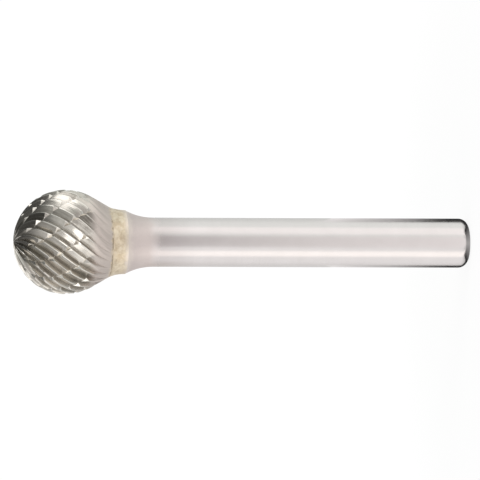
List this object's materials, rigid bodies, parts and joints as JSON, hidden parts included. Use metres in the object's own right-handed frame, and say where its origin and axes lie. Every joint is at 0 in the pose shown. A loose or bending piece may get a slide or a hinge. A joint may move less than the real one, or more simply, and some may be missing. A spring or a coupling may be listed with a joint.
{
  "type": "rotary burr",
  "caption": "Ball-shaped carbide rotary burr with crossed spiral teeth, brazed to a flared steel shank with a plain ground end for a collet.",
  "frame": {"origin": "centre of the flat end face of the shank, on which the burr stands", "axes": "+Z along the burr's axis from the shank's end to the ball; +X and +Y are square to it and mark no feature"},
  "size_m": [0.0126, 0.0126, 0.056],
  "materials": {
    "carbide": "ground tungsten carbide, bright facets",
    "braze": "pale gold silver-solder, left as brazed",
    "steel": "ground bright cylinder, matt turned flare"
  },
  "bodies": {
    "root": {"cutting_head": "carbide", "braze_joint": "braze", "shank": "steel"}
  },
  "joints": []
}
